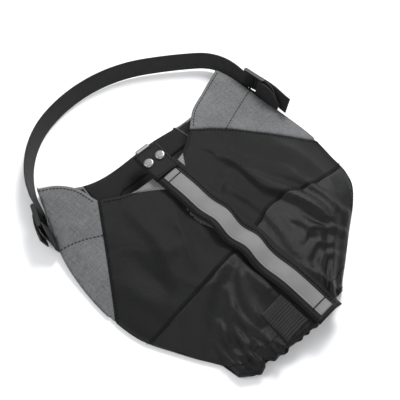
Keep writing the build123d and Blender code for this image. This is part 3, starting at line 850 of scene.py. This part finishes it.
# ---------------- reinforcement, loop tape and patch
PATCH_LOW, PATCH_HIGH = node_box("cuff_loop_patch")
TAPE_LOW, TAPE_HIGH = node_box("loop_tape")
HEM_INSET = 1.2  # the ripstop patches stop this far from the front hem
left_patch = np.vstack([
    [(-42, hem_at(-42) - HEM_INSET), (-10, 66), (7, 74)], part_of(FRONT_HEM, -41, 7)[::-1] - (0, HEM_INSET),
])
right_patch = np.array([(24, hem_at(24) - HEM_INSET), (11, 70), (11, hem_at(11) - HEM_INSET)])
for side, outline in (("left", left_patch), ("right", right_patch)):
    lay(side + "_ripstop_patch", outline, "root", RIPSTOP, "grey_ripstop", side + "_toe_reinforcement",
        out=0.7, thick=0.6, cell=2.0, dip=0.4)


def rectangle(low_x, low_y, high_x, high_y):
    """A rectangular plan outline."""
    return np.array([(low_x, low_y), (high_x, low_y), (high_x, high_y), (low_x, high_y)], float)


lay("loop_tape_strip", rectangle(TAPE_LOW[0], TAPE_LOW[1], TAPE_HIGH[0], TAPE_HIGH[1] - 2),
    "root", LOOPS, "hook_and_loop", "loop_tape", out=1.5, thick=0.8, cell=3.0)


def patch_ribs(plan):
    """The loop patch's raised ribs, which run across the gaiter."""
    return 0.35 * np.cos(2 * math.pi * plan[:, 1] / 3.0) + 0.12 * np.cos(2 * math.pi * plan[:, 0] / 2.2)


patch = rectangle(PATCH_LOW[0], PATCH_LOW[1] - 2, PATCH_HIGH[0], PATCH_HIGH[1])
lay("cuff_adjusting_patch", patch, "root", LOOP_PATCH, "hook_and_loop", "cuff_loop_patch",
    out=1.5, thick=1.3, cell=1.0, dip=0.5, extra=patch_ribs)

# ---------------- storm flap
SEWN_LOW, SEWN_HIGH = node_box("flap_sewn_edge")
SILVER_LOW, SILVER_HIGH = node_box("reflective_tape")
HOOKS_LOW, HOOKS_HIGH = node_box("hook_tape")
FLAP_WAVE = smooth([
    (-127, 1.0), (-100, -0.3), (-78, 0.9), (-55, -0.8), (-34, 2.6), (-16, -0.7), (4, 2.5), (24, -0.8),
    (44, 1.6), (66, 0), (92, 0.6),
])
FLAP_DRIFT = smooth([
    (-127, 1.0), (-100, 1.4), (-70, 0.4), (-44, -1.0), (-26, 1.5), (-8, -1.2), (14, 1.7), (34, -0.6),
    (60, 0.3), (92, 0),
])


def on_flap(x, y, out=0.0):
    """Points on the flap, which lies in soft waves over the closure."""
    x, y = np.asarray(x, float), np.asarray(y, float)
    free = eased(-x, -SEWN_LOW[0], -4)  # the sewn edge lies still
    inner = np.clip(y, -118, 90)
    loosened = eased(-x, -15, -9)
    height = front_height(x, inner) + 2.2 * free + 0.6 + FLAP_WAVE(y) * (0.35 + 0.65 * free) * loosened
    height += 0.9 * free * np.cos((x + 3) / 14.5 * 1.5)
    drift = FLAP_DRIFT(y) * (0.55 + 0.45 * loosened)
    return np.stack([x + drift, y, height + out], -1)


def flap_hem(plan):
    """Raised turned edges on the flap's free sides."""
    side = np.minimum(plan[:, 0] - FLAP_LOW[0], np.minimum(plan[:, 1] - FLAP_LOW[1], 99))
    return 0.45 * np.exp(-(((side - 2.2) / 1.8) ** 2))


flap_outline = rectangle(FLAP_LOW[0], FLAP_LOW[1], SEWN_HIGH[0], FLAP_HIGH[1])
flap = cloth_piece("storm_flap_cloth", flap_outline, out=1.2, thick=1.3, cell=1.9, dip=0.5, place=on_flap,
                   extra=flap_hem)
finish_piece(flap, None, OXFORD, "black_oxford", "storm_flap", "flap_sewn_edge")
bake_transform(flap)

tuft = ripple(11, 2.2, 7)
hook_left = [(HOOKS_LOW[0] - 1.0 + 0.7 * float(tuft(y)) - 4.6 * math.exp(-(((y - 24) / 16) ** 2)), y)
             for y in np.arange(HOOKS_LOW[1], HOOKS_HIGH[1], 1.6)]
hook_outline = np.vstack([hook_left, [(HOOKS_HIGH[0], HOOKS_HIGH[1]), (HOOKS_HIGH[0], HOOKS_LOW[1])]])
lay("hook_tape_strip", hook_outline, "flap", HOOKS, "hook_and_loop", "hook_tape",
    out=-0.2, thick=0.9, cell=2.2, place=on_flap)


silver = {"thick": 0.45, "cell": 1.8, "dip": 0.2, "place": on_flap}
lay("reflective_strip", rectangle(*SILVER_LOW[:2], *SILVER_HIGH[:2]), "flap", SILVER,
    "reflective", "reflective_tape", out=1.75, **silver)
for name, low_x, high_x in (("tape_edge_left", SILVER_LOW[0] - 0.2, SILVER_LOW[0] + 1.3),
                            ("tape_edge_right", SILVER_HIGH[0] - 1.3, SILVER_HIGH[0] + 0.2)):
    edge = rectangle(low_x, SILVER_LOW[1] + 0.5, high_x, SILVER_HIGH[1] - 0.5)
    finish_piece(cloth_piece(name, edge, out=1.9, **silver), "flap", SILVER_EDGE, "reflective")

# ---------------- end tab
TAB_CENTRE = np.array([-2.5, 99.0, 28.4])
TAB_TILT, TAB_TURN = math.radians(-7), math.radians(-5)
TAB_HALF = np.array([14.5, 18.5])
tab_turn = np.array(Matrix.Rotation(TAB_TURN, 3, "Z") @ Matrix.Rotation(TAB_TILT, 3, "X"))


def on_tab(x, y, out=0.0):
    """Points on the tab's top face, from its own middle."""
    x, y = np.asarray(x, float), np.asarray(y, float)
    pinch = -0.5 * np.exp(-((np.abs(x) - 7) ** 2 + (y - 2) ** 2) / 34)
    curl = 0.5 * np.cos(x / 9) - 0.9 * eased(np.abs(x), 9, 15) + 0.4 * np.sin(y / 7)
    local = np.stack([x, y, out + pinch + curl - 0.1], -1)
    return TAB_CENTRE + local @ tab_turn.T


def tab_hem(plan):
    """The tab's turned edge."""
    inner = np.minimum(TAB_HALF[0] - np.abs(plan[:, 0]), TAB_HALF[1] - np.abs(plan[:, 1]))
    return 0.35 * np.exp(-(((inner - 2.0) / 1.5) ** 2))


lay("flap_end_cloth", rectangle(*-TAB_HALF, *TAB_HALF), "flap", OXFORD, "black_oxford", "flap_end_tab",
    thick=1.2, cell=1.4, dip=0.5, place=on_tab, extra=tab_hem)
for node, paint in (("lace_hook", STEEL), ("rivet_caps", CAPS), ("rivet_bases", STEEL),
                    ("left_ladder_lock", PLASTIC), ("right_ladder_lock", PLASTIC)):
    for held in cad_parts[node].material_slots:
        held.material = paint

# ---------------- instep strap
STRAP_LEAN = math.radians(16)
SPAN_START, SPAN_HEADING = np.array([-107.0, 166.0]), 64.0
SPAN_ARCS = [(98, 54), (149, 45), (450, 7), (50, 42)]
STRAP_HEIGHT, WEB_WIDTH, WEB = 12.5, 20.0, 1.6
LOCK_SETBACK = 39.0
# the threaded webbing's corners along and through a lock, without its tail, and the radii of its bends
THREADING = [(2.5, 4.3), (12.3, 3.15), (17.8, -2.55), (34, 0), (LOCK_SETBACK, 0)]
TAIL_OUT = 4.3
THREADING_RADII = [10, 3.2, 3.2, 20]
LEFT_TAIL, RIGHT_TAIL = 16.0, 36.0
ANCHOR_LENGTH, ANCHOR_R, ANCHOR_WEB = 28.0, 2.45, 1.4
LEFT_ANCHOR_TURN, RIGHT_ANCHOR_TURN = 9.0, 3.0


def heading_of(degrees):
    """A flat direction."""
    return np.array([math.cos(math.radians(degrees)), math.sin(math.radians(degrees))])


def rounded(corners, radii, step=0.7):
    """A route whose inner corners are turned into arcs."""
    corners = np.asarray(corners, float)
    route = [corners[0] + (corners[1] - corners[0]) * k / 12 for k in range(10)]
    for before, corner, after, radius in zip(corners, corners[1:], corners[2:], radii):
        into, out_of = corner - before, after - corner
        into, out_of = into / np.linalg.norm(into), out_of / np.linalg.norm(out_of)
        turn = math.atan2(into[0] * out_of[1] - into[1] * out_of[0], into @ out_of)
        start = corner - into * radius * math.tan(abs(turn) / 2)
        centre = start + math.copysign(radius, turn) * np.array([-into[1], into[0]])
        arm = start - centre
        count = int(radius * abs(turn) / step) + 2
        for k in range(count + 1):
            c, n = math.cos(turn * k / count), math.sin(turn * k / count)
            route.append(centre + [arm[0] * c - arm[1] * n, arm[0] * n + arm[1] * c])
    route.append(corners[-1])
    return np.array(route)


def lock_frame(anchor, heading, outward):
    """A ladder lock's place and its directions: along the strap, outwards through it and up its width."""
    along = np.array([*heading_of(heading), 0])
    out = np.array([-along[1], along[0], 0]) * outward
    up = out * math.sin(STRAP_LEAN) + np.array([0, 0, 1]) * math.cos(STRAP_LEAN)
    through = out * math.cos(STRAP_LEAN) - np.array([0, 0, 1]) * math.sin(STRAP_LEAN)
    return np.array([*anchor, STRAP_HEIGHT]), along, through, up


span, place, heading = [], SPAN_START, SPAN_HEADING
for radius, turn in SPAN_ARCS:
    centre = place - radius * np.array([-heading_of(heading)[1], heading_of(heading)[0]])
    for k in range(int(radius * math.radians(turn) / 2.5) + 1):
        h = heading - math.degrees(k * 2.5 / radius)
        span.append(centre + radius * np.array([-heading_of(h)[1], heading_of(h)[0]]))
    heading -= turn
    place = centre + radius * np.array([-heading_of(heading)[1], heading_of(heading)[0]])
SPAN_END, END_HEADING = place, heading + 180
LEFT_LOCK = lock_frame(SPAN_START - LOCK_SETBACK * heading_of(SPAN_HEADING), SPAN_HEADING, 1)
RIGHT_LOCK = lock_frame(SPAN_END - LOCK_SETBACK * heading_of(END_HEADING), END_HEADING, -1)


def in_lock(lock, points):
    """Places in the row from places along and through a lock."""
    origin, along, through, _ = lock
    points = np.asarray(points, float)
    return origin + points[:, :1] * along + points[:, 1:2] * through


def threaded(lock, tail, turned_in):
    """The webbing's middle line from its tail, which lies in towards the wing, to the free span."""
    line = rounded([(-tail, TAIL_OUT)] + THREADING, THREADING_RADII)
    past = eased(-line[:, 0], 0, tail)
    line[:, 1] -= turned_in * past ** 2
    return in_lock(lock, line)


def webbing(name, line, up, width, thick, body, node):
    """Flat webbing with rounded edges, on a middle line with a width direction at each point."""
    line, up = np.asarray(line, float), np.asarray(up, float)
    forward = np.gradient(line, axis=0)
    forward /= np.linalg.norm(forward, axis=1, keepdims=True)
    up = up - (up * forward).sum(1, keepdims=True) * forward
    up /= np.linalg.norm(up, axis=1, keepdims=True)
    through = np.cross(forward, up)
    half, r = np.broadcast_to(width, len(line)) / 2, thick / 2
    lengthwise = run_along(line)
    across_at = [-1, -0.985, -0.94, -0.6, -0.2, 0.2, 0.6, 0.94, 0.985, 1]
    depth = [0.15, 0.75, 1, 0.93, 1.0, 1.0, 0.93, 1, 0.75, 0.15]
    upper = list(zip(across_at, depth))
    profile = upper + [(a, -d) for a, d in reversed(upper)]
    rings = np.stack([line + up * (a * half)[:, None] + through * d * r for a, d in profile], 1)
    uv = np.stack([np.stack([a * half, lengthwise], -1) for a, _ in profile], 1)
    piece = loft_rings(name, rings, uv)
    return finish_piece(piece, body, WEBBING, "webbing", node)


span = np.array([[*p, STRAP_HEIGHT] for p in span])
flat = np.gradient(span[:, :2], axis=0)
flat /= np.linalg.norm(flat, axis=1, keepdims=True)
outwards = np.stack([-flat[:, 1], flat[:, 0], 0 * flat[:, 0]], -1)
sag = np.sin(np.linspace(0, math.pi, len(span))) ** 0.5
lean = STRAP_LEAN + 0.10 * sag
span_up = outwards * np.sin(lean)[:, None] + np.array([0, 0, 1]) * np.cos(lean)[:, None]
span[:, 2] -= 2.2 * sag
left_end, right_end = threaded(LEFT_LOCK, LEFT_TAIL, 0.8), threaded(RIGHT_LOCK, RIGHT_TAIL, 4.5)
strap_points = np.vstack([left_end[:-1], span, right_end[::-1][1:]])
up_points = np.vstack([
    np.tile(LEFT_LOCK[3], (len(left_end) - 1, 1)), span_up, np.tile(RIGHT_LOCK[3], (len(right_end) - 1, 1)),
])
points_run = run_along(strap_points)
strap_line, strap_run = even(strap_points, 1.5)
strap_up = np.stack([np.interp(strap_run, points_run, up_points[:, k]) for k in range(3)], -1)
webbing("instep_strap_webbing", strap_line, strap_up, WEB_WIDTH, WEB, "strap", "instep_webbing")

for name, lock, turn, fold in (
    ("left_anchor", LEFT_LOCK, LEFT_ANCHOR_TURN, LEFT_SIDE),
    ("right_anchor", RIGHT_LOCK, RIGHT_ANCHOR_TURN, RIGHT_SIDE),
):
    a = math.radians(turn)
    origin, along, through, up = lock
    towards = along * math.cos(a) + through * math.sin(a)
    outside = through * math.cos(a) - along * math.sin(a)
    half_turn = np.linspace(-math.pi / 2, math.pi / 2, 13)
    arc = [(ANCHOR_R * math.cos(t), ANCHOR_R * math.sin(t)) for t in half_turn]
    legs = np.array([(-ANCHOR_LENGTH + k, -ANCHOR_R) for k in np.arange(0, ANCHOR_LENGTH, 2.0)] + arc
                    + [(-k, ANCHOR_R) for k in np.arange(2, ANCHOR_LENGTH + 0.1, 2.0)])
    squeeze = eased(-legs[:, 0], 8, ANCHOR_LENGTH)
    legs[:, 1] *= 1 - 0.68 * squeeze
    line = origin + legs[:, :1] * towards + legs[:, 1:] * outside
    reach = np.array([fold(line[:, 1]), line[:, 1]]).T - line[:, :2]
    line[:, :2] += reach * (0.72 * squeeze[:, None])
    line[:, 2] -= 5.5 * squeeze
    width = WEB_WIDTH - 9 * squeeze
    up = np.tile(up, (len(line), 1))
    piece = webbing(name + "_loop", line, up, width, ANCHOR_WEB, None, name + "_webbing")
    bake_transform(piece)


# ---------------- stitching
def beside(route, distance):
    """A route moved sideways, to its left."""
    heading = np.gradient(route, axis=0)
    heading /= np.linalg.norm(heading, axis=1, keepdims=True)
    return route + distance * np.stack([-heading[:, 1], heading[:, 0]], -1)


def trimmed(route, low, high):
    """A route with the share before low and after high cut off."""
    points, run = even(route, 1.0)
    return points[(run >= low * run[-1]) & (run <= high * run[-1])]


left_facing_line = curve_through([(-133, 106), (-110, 96), (-91, 83)])
right_facing_line = curve_through([(76, 78), (104, 88), (130, 96)])
hem_line = beside(FRONT_HEM, -3.0)
cuff_lines = cuff_band(-0.97, 0.97, 3, 15)
stitch_run("wing_hem_stitches", [
    trimmed(beside(LEFT_WING_HEM, -3.2), 0.04, 0.95), trimmed(beside(RIGHT_WING_HEM, -3.2), 0.05, 0.96),
    left_facing_line, right_facing_line,
], slot="grey_oxford")
stitch_run("seam_stitches", [
    beside(LEFT_SEAM, -2.6), beside(RIGHT_SEAM, -2.6), beside(LEFT_YOKE, -2.4), beside(RIGHT_YOKE, 2.4),
])
stitch_run("front_hem_stitches", [part_of(hem_line, -66, -17), part_of(hem_line, 16, 48)])
stitch_run("cuff_stitches", [cuff_lines[:60], cuff_lines[60:]])
flap_seams = {"place": on_flap, "body": "flap", "slot": "black_oxford"}
stitch_run("flap_stitches", [
    np.array([(FLAP_LOW[0] + 2.4, FLAP_LOW[1] + 2), (FLAP_LOW[0] + 2.4, FLAP_HIGH[1] - 14)]),
    np.array([(SEWN_HIGH[0] - 5.5, FLAP_LOW[1] + 2), (SEWN_HIGH[0] - 5.5, FLAP_HIGH[1] - 14)]),
], out=1.75, **flap_seams)
for index, y in enumerate((SILVER_LOW[1] + 9.5, SILVER_HIGH[1] - 7.0)):
    bar = np.array([(SILVER_LOW[0] + 0.5, y), (SILVER_HIGH[0] - 0.5, y)])
    stitch_run(f"tape_bar_stitches_{index}", [bar], out=2.3, gap=0.0, **flap_seams)
tab_x, tab_y = TAB_HALF - 2.4
tab_corners = np.array([(-tab_x, -tab_y), (tab_x, -tab_y), (tab_x, tab_y), (-tab_x, tab_y)])
stitch_run("tab_stitches", list(zip(tab_corners, np.roll(tab_corners, -1, axis=0))),
           out=0.35, place=on_tab, body="flap", slot="black_oxford")


# ---------------- camera, light and floor
def aim(thing, place, target):
    """Puts a camera or a light at a place, turned to a target."""
    thing.location = place
    thing.rotation_euler = (Vector(target) - Vector(place)).to_track_quat("-Z", "Y").to_euler()


def camera(azimuth, elevation, lens, distance, target):
    """A camera that looks along +Y at azimuth 0."""
    data = bpy.data.cameras.new("camera")
    data.lens = lens
    view = bpy.data.objects.new("camera", data)
    bpy.context.scene.collection.objects.link(view)
    a, e = math.radians(azimuth), math.radians(elevation)
    back = Vector((math.sin(a) * math.cos(e), -math.cos(a) * math.cos(e), math.sin(e)))
    aim(view, Vector(target) + back * distance, target)
    bpy.context.scene.camera = view


def area_light(name, place, size, power, target=(0, 0.03, 0)):
    """A soft square light."""
    data = bpy.data.lights.new(name, "AREA")
    data.shape = "SQUARE"
    data.size = size
    data.energy = power
    lamp = bpy.data.objects.new(name, data)
    bpy.context.scene.collection.objects.link(lamp)
    aim(lamp, place, target)


camera(-45.9, 63, 90, 0.98, (0.004, 0.045, 0.008))
area_light("key", (1.0, 0.55, 0.95), 0.55, 26)
area_light("fill", (-0.9, 0.9, 1.2), 0.9, 10)
area_light("front", (-0.7, -0.9, 1.0), 1.0, 7)

world = bpy.data.worlds.new("studio")
world.use_nodes = True
world.node_tree.nodes["Background"].inputs["Color"].default_value = (0.97, 0.98, 1.0, 1)
world.node_tree.nodes["Background"].inputs["Strength"].default_value = 0.5
bpy.context.scene.world = world
bpy.context.scene.view_settings.view_transform = "Standard"

bpy.ops.mesh.primitive_plane_add(size=6, location=(0, 0, -0.0003))
floor = bpy.context.object
floor.name = "floor"
floor_paint = Paint("pale_floor")
floor_paint.colour(floor_paint.mix(floor_paint.noise(3, 2), (0.86, 0.86, 0.865), (0.88, 0.88, 0.885)))
floor_paint.rough(floor_paint.noise(3, 2), 0.5, 0.6)
floor.data.materials.append(floor_paint.material)
